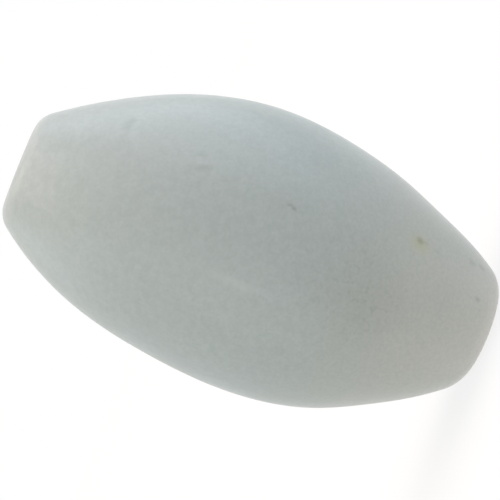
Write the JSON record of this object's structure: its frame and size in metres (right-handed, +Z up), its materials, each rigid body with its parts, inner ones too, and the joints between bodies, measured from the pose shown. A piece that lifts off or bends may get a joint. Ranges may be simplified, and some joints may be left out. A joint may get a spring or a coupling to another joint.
{
  "type": "magnetic stir bar",
  "caption": "Rugby-ball magnetic stir bar: a seamless pale grey PTFE barrel with flat ends, moulded round a rod magnet, that spins on a stirrer to mix liquids.",
  "frame": {"origin": "middle of the flat foot that the bar stands on", "axes": "+Z up the bar's long axis, which is also the magnet's axis, from the foot to the crown; the bar is round about Z"},
  "size_m": [0.02, 0.02, 0.035],
  "materials": {
    "ptfe": "satin, waxy, faintly translucent moulded PTFE",
    "magnet_alloy": "ground cast aluminium-nickel-cobalt alloy"
  },
  "bodies": {
    "root": {"ptfe_jacket": "ptfe", "rod_magnet": "magnet_alloy"}
  },
  "joints": []
}
